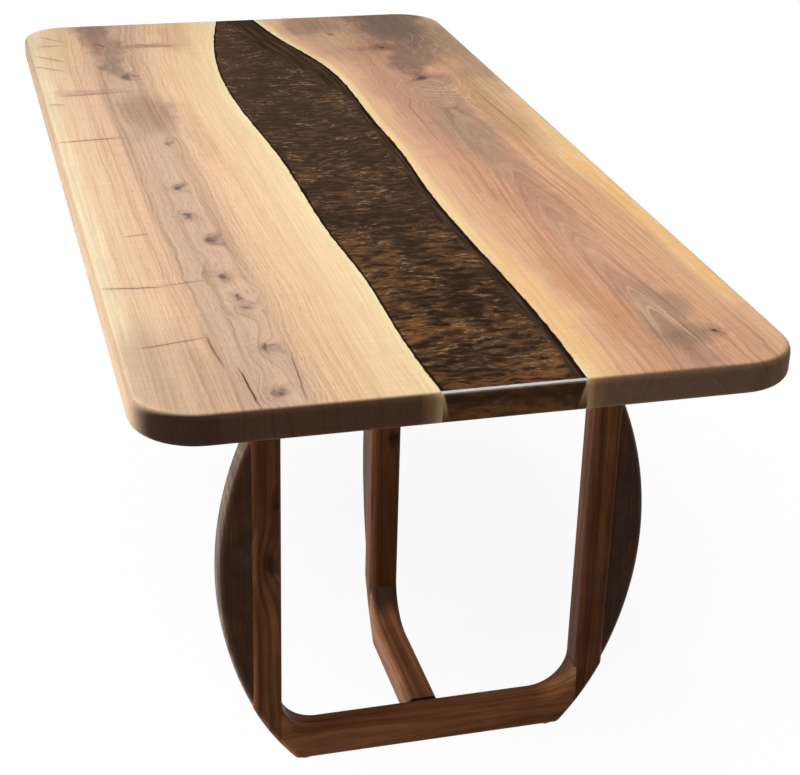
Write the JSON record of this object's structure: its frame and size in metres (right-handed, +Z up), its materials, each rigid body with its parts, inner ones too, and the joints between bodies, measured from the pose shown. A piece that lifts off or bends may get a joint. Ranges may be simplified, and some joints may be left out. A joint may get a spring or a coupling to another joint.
{
  "type": "live edge dining table",
  "caption": "Dining table: two walnut slabs joined by a dark resin river, on two three-legged walnut bases with bowed boards on the posts.",
  "frame": {"origin": "on the floor, under the middle of the table top", "axes": "+Y along the table top's length, +X across it, +Z up"},
  "size_m": [1, 2.1, 0.78],
  "materials": {
    "slab_walnut": "satin oiled walnut",
    "river_resin": "polished pearly cast resin",
    "base_walnut": "satin oiled walnut",
    "bow_walnut": "dark stained walnut",
    "dowel_beech": "raw beech",
    "glide_nylon": "black nylon",
    "painted_steel": "black powder coat",
    "zinc_steel": "zinc plated",
    "brass": "turned brass"
  },
  "bodies": {
    "root": {"slab_left": "slab_walnut", "slab_right": "slab_walnut", "resin_river": "river_resin", "stiffener_near": "painted_steel", "stiffener_middle": "painted_steel", "stiffener_far": "painted_steel", "stiffener_screws": "zinc_steel", "stiffener_inserts": "brass", "cross_bar_near": "base_walnut", "long_bar_near": "base_walnut", "post_left_near": "base_walnut", "bow_left_near": "bow_walnut", "plate_left_near": "painted_steel", "glide_left_near": "glide_nylon", "post_right_near": "base_walnut", "bow_right_near": "bow_walnut", "plate_right_near": "painted_steel", "glide_right_near": "glide_nylon", "post_inner_near": "base_walnut", "bow_inner_near": "bow_walnut", "plate_inner_near": "painted_steel", "glide_inner_near": "glide_nylon", "joint_dowels_near": "dowel_beech", "bow_dowels_near": "dowel_beech", "post_screws_near": "zinc_steel", "glide_screws_near": "zinc_steel", "plate_screws_near": "zinc_steel", "plate_inserts_near": "brass", "cross_bar_far": "base_walnut", "long_bar_far": "base_walnut", "post_left_far": "base_walnut", "bow_left_far": "bow_walnut", "plate_left_far": "painted_steel", "glide_left_far": "glide_nylon", "post_right_far": "base_walnut", "bow_right_far": "bow_walnut", "plate_right_far": "painted_steel", "glide_right_far": "glide_nylon", "post_inner_far": "base_walnut", "bow_inner_far": "bow_walnut", "plate_inner_far": "painted_steel", "glide_inner_far": "glide_nylon", "joint_dowels_far": "dowel_beech", "bow_dowels_far": "dowel_beech", "post_screws_far": "zinc_steel", "glide_screws_far": "zinc_steel", "plate_screws_far": "zinc_steel", "plate_inserts_far": "brass"}
  },
  "joints": []
}
